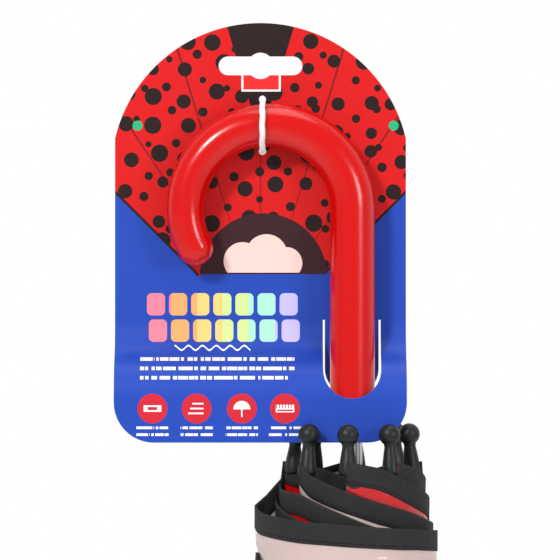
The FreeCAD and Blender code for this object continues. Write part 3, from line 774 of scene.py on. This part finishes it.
one = np.ones(1)
FOLD_R = [around(furl(open_place(1, s * one, one), 1, "start", 1.0), 1)[1][0] for s in LEVELS]
WAYS = {side: np.array([way_round(side, s) for s in LEVELS]) for side in ("start", "end")}
print("fold radius, mm", [round(r / MM, 1) for r in FOLD_R])

# %% [markdown]
# ## Half gores
# One gore, the fifth, was wrapped last and lies over all the others across the front, so its half
# is pulled out to the bundle's full width near the hem. The hem's height is drawn as it hangs when
# furled, and the length along the rib follows from it.

# %% Film and binding
TAPE_W = 11 * MM
FRONT_GORE = 5
FRONT_R, FRONT_FLARE = 43.6 * MM, 5.6 * MM
FRONT_CLEAR = 11
FRONT_LIFT = ((0, FRONT_CLEAR, WRAP), (0, 3.8 * MM, 1.4 * MM))
PALE_GORES = (5, 6)
PLAIN_HEM = ((0, 35, 80, 125, 165), (471, 465, 455, 446, 437))
HEMS = {4: ((0, 60, 96, 117, 151, 165), (471, 457, 455, 449.5, 440, 437)),
        5: ((0, 9, 22, 60, 120, 165), (471, 449, 445.5, 442, 438.5, 436.5)),
        6: ((0, 10, 33, 70, 111, 125, 165), (470, 464.5, 459, 451, 443.5, 441, 437)),
        7: ((0, 27, 57, 77, 125, 165), (471, 468, 460, 455.5, 446, 437))}


def columns_at(side, along):
    """The walk at any distance along the rib; one column of `along` for each column of the walk."""
    return [np.stack([np.interp(along[:, c], LEVELS, WAYS[side][:, part, c]) for c in range(COLUMNS)], 1)
            for part in (0, 1)]


def settled(points, gore, side, along):
    """Furled points drawn to the radius at which this gore lies in the bundle, near the hem."""
    angle, radius = around(points, gore)
    rib_r = np.interp(along, LEVELS, [closed_rib_r(s) for s in LEVELS])
    want = rib_r + (BUNDLE_R - rib_r) * np.clip(angle / WRAP, 0, 1)
    if gore == FRONT_GORE:
        flare = smooth((along - 380 * MM) / (22 * MM))
        outer = FRONT_R + flare * np.interp(angle, [0, WRAP], [FRONT_FLARE, 0])
        want += (outer - want) * smooth(angle / FRONT_CLEAR)
    near_hem = smooth((along - 300 * MM) / (60 * MM))
    pull = near_hem * (want - radius)
    if gore == FRONT_GORE:
        lift = np.interp(angle, *FRONT_LIFT) * np.minimum(radius / BUNDLE_R, 1)
        pull += (1 - near_hem) * lift
    t = np.linspace(0, 1, COLUMNS)
    if side == "start":
        pull = pull * smooth(t / 0.06)
    else:
        pull = pull[:, -1:] * smooth((t - 0.6) / 0.4)
    return points + points * (1, 1, 0) / radius[..., None] * pull[..., None]


def hang(gore, side, along):
    """Furled points, places across and shares of the turn for a grid of places along the rib."""
    across, share = columns_at(side, along)
    flat = across if side == "start" else 2 - across
    opened = open_place(gore, along, flat)
    return settled(furl(opened, gore, side, share), gore, side, along), flat, share, opened


def hem_of(gore, side):
    """Where the hem is along the rib, for each column."""
    line = np.full((1, COLUMNS), FILM_TIP)
    heights = HEMS.get(gore, PLAIN_HEM)
    for _ in range(4):
        points = hang(gore, "start", line)[0]
        angle = around(points, gore)[0]
        drawn = sum(np.interp(angle + d, *heights) for d in (-4, -2, 0, 2, 4)) / 5
        line = line + drawn * MM - points[..., 2]
        line = np.clip(line, FILM_TIP - 40 * MM, FILM_TIP + 4 * MM)
    line[:, 0] = FILM_TIP
    if side == "end":
        line = FILM_TIP + (line[:, -1:] - FILM_TIP) * WAYS["end"][-1, 0]
    return line


def half_gore(name, gore, side, along, finish, cut_along=None):
    furled, flat, share, opened = hang(gore, side, along)
    edges = [on_open_rib(number, along) for number in (gore, gore + 1)]
    chord = np.linalg.norm(edges[1] - edges[0], axis=-1)
    cut = np.stack(((flat - 1) * chord / 2, along if cut_along is None else cut_along), -1)
    order = slice(None) if side == "start" else slice(None, None, -1)
    piece = make_piece(name, furled[:, order].reshape(-1, 3), grid_faces(len(along), COLUMNS), finish,
                       cut[:, order].reshape(-1, 2))
    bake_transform(piece)
    diagonals = np.cross(opened[1:, 1:] - opened[:-1, :-1], opened[1:, :-1] - opened[:-1, 1:])
    return piece, float(np.linalg.norm(diagonals, axis=-1).sum() / 2)


for gore in range(1, RIBS + 1):
    for side in ("start", "end"):
        hem = hem_of(gore, side)
        lengths = np.linspace(0, 1, 90)[:, None]
        sheet, area = half_gore("film_%d_%s" % (gore, side), gore, side,
                                FILM_START + (hem - 1 * MM - FILM_START) * lengths,
                                film_pale if gore in PALE_GORES else film_red)
        tape_rows = np.linspace(1, 0, 9)[:, None] * TAPE_W
        tape, _ = half_gore("binding_%d_%s" % (gore, side), gore, side, hem - tape_rows, binding_tape,
                            np.broadcast_to(TAPE_W - tape_rows, (9, COLUMNS)))
        for piece, thickness in ((sheet, 0.25 * MM), (tape, 1.1 * MM)):
            thick = piece.modifiers.new("thickness", "SOLIDIFY")
            thick.thickness, thick.offset = thickness, 0
        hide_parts("gore_%d_%s" % (gore, side))
print("half gore, square centimetres", round(area * 1e4, 1))

# %% [markdown]
# ## The collar
# Where the eight gores meet, the film is gathered over the cap's edge. A thin turned ring stands
# for those gathers; a pleated mesh would be the next step up.

# %% Collar of film round the crown
CAP_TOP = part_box("canopy_cap")[1].z
collar = [(8.9, 0.15), (13.6, 0.2), (14.0, 0.9), (13.9, 5.2),
          (13.6, 5.2), (13.6, 1.1), (13.3, 0.5), (8.9, 0.45)]
rosette = turned("film_rosette", [(r * MM, CAP_TOP + h * MM) for r, h in collar], (0, 0, 0), (0, 0, 1),
                 film_red, around=96, ring=True)
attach(rosette, "root")

# %% [markdown]
# ## The tie strap
# A woven band holds the bundle together, with a doubled end that sticks up past the snap and a
# blank patch for a name. It is sewn to the first gore. When the umbrella opens the real strap hangs
# flat against that gore; here it rides rigidly with that gore and keeps its furled shape.

# %% Strap, end, patch and snap
STRAP_LOW, STRAP_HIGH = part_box("name_label")[0].z - 3 * MM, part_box("name_label")[1].z + 3 * MM
STRAP_R = 45.4 * MM
SNAP = ((5.0, 0), (5.0, 1.0), (4.6, 1.5), (3.6, 1.7), (2.2, 1.5), (0.1, 1.4))


def band(name, first, last, low, high, radius, thickness, finish, columns, wrap=False):
    """A strip round the bundle between two azimuths, in degrees."""
    turn = np.radians(np.linspace(first, last, columns, endpoint=not wrap))
    rows = np.linspace(0, 1, 7)
    points, cut = [], []
    for share in rows:
        for a in turn:
            r = radius + 0.25 * MM * math.sin(3 * a) - 0.35 * MM * abs(2 * share - 1) ** 3
            points.append((r * math.cos(a), r * math.sin(a), low + (high - low) * share))
            cut.append((r * a, (high - low) * share))
    piece = make_piece(name, points, grid_faces(len(rows), columns, wrap), finish, cut)
    thick = piece.modifiers.new("thickness", "SOLIDIFY")
    thick.thickness, thick.offset = thickness, 0
    return piece


strap_parts = [
    (band("strap_band", 0, 360, STRAP_LOW, STRAP_HIGH, STRAP_R, 1.1 * MM,
          strap_webbing, 128, True),
     "tie_strap", "strap_webbing"),
    (band("strap_end", 171, 190, STRAP_LOW, STRAP_HIGH + 10.5 * MM, STRAP_R + 2.2 * MM, 2.4 * MM,
          strap_webbing, 24),
     None, "strap_webbing"),
    (band("name_patch", -107, -73, STRAP_LOW + 3 * MM, STRAP_HIGH - 3 * MM, STRAP_R + 1.1 * MM,
          0.5 * MM, label_cloth, 32),
     "name_label", "name_patch"),
    (turned("snap_cap", [(r * MM, h * MM) for r, h in SNAP],
            (-STRAP_R - 3.4 * MM, 0, (STRAP_LOW + STRAP_HIGH) / 2), (-1, 0, 0), tip_black),
     "strap_snap", "black_plastic")]
crease_turn = rib_azimuth(1) + math.radians(WRAP)
for piece, node, slot in strap_parts:
    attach(piece, "gore_1_start")
    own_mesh(piece)
    if node:
        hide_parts(node)

# %% [markdown]
# ## Card and hard parts
# The card's outline, its cut-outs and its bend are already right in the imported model, so it only
# needs its print. The same goes for the metal parts and the black mouldings at the crown.

# %% Card and hard parts
REMADE = ("rib_tip", "gore", "handle_crook", "tie_strap", "name_label", "strap_snap", "card_cord")
NODE_FINISH = {"shaft_tube": shaft_plating, "crown_wire": shaft_plating, "stop_pin": shaft_plating,
               "lower_catch": shaft_plating, "upper_catch": shaft_plating, "hang_card": card_ink,
               "ferrule": tip_black, "canopy_cap": tip_black, "crown": tip_black, "runner": tip_black}
for name, node in frame["nodes"].items():
    if name.startswith(REMADE):
        continue
    finish = NODE_FINISH.get(name, rib_paint)
    node.data.materials.clear()
    node.data.materials.append(finish.material)

# %% [markdown]
# ## The cord
# The cord is a three-strand twist, so its section has three lobes that turn as it goes round the
# loop: round the front of the grip, through the card's two holes and straight up behind it.

# %% Cord
CORD_R = 1.4 * MM
low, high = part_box("card_cord")
cord_x = (low.x + high.x) / 2
loop_r = (high.z - low.z) / 2 - CORD_R
mid_z = (high.z + low.z) / 2
back_y = high.y - CORD_R
corner = 2 * CORD_R
top_z, low_z = mid_z + loop_r, mid_z - loop_r
CLEAR = 1 * MM


def bend(y, z, radius, first, last, count):
    """Points on an arc in the loop's plane, between two angles in degrees; 0 points to the card."""
    return [(cord_x, y + radius * math.cos(a), z + radius * math.sin(a))
            for a in np.radians(np.linspace(first, last, count))]


def straight(start, end, count):
    return [(cord_x, y, z) for y, z in np.linspace(start, end, count)]


loop = bend(0, mid_z, loop_r, 90, 270, 60)
loop += straight((2 * CLEAR, low_z), (back_y - corner - CLEAR, low_z), 12)
loop += bend(back_y - corner, low_z + corner, corner, 270, 360, 7)
loop += straight((back_y, low_z + corner + CLEAR), (back_y, top_z - corner - CLEAR), 24)
loop += bend(back_y - corner, top_z - corner, corner, 0, 90, 7)
loop += straight((back_y - corner - CLEAR, top_z), (2 * CLEAR, top_z), 12)
cord = tube_along("hang_cord", loop, [CORD_R] * len(loop), cord_cotton, around=24, lobes=3, lobe_depth=0.12,
                  twist=2 * math.pi * 3 / len(loop), closed=True)
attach(cord, "root")
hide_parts("card_cord")

# %% [markdown]
# ## The floor
# A wide pale sheet well below the object catches a soft shadow in the views from above.

# %% Floor
FLOOR_Z, FLOOR_HALF = -0.3, 12
floor_mesh = bpy.data.meshes.new("floor")
corners = [(side_x * FLOOR_HALF, side_y * FLOOR_HALF, FLOOR_Z)
           for side_x, side_y in ((-1, -1), (1, -1), (1, 1), (-1, 1))]
floor_mesh.from_pydata(corners, [], [(0, 1, 2, 3)])
floor = bpy.data.objects.new("floor", floor_mesh)
bpy.context.scene.collection.objects.link(floor)
pale = Finish("floor_paper")
pale.set(Base_Color=(0.9, 0.9, 0.9, 1), Roughness=0.8)
floor_mesh.materials.append(pale.material)
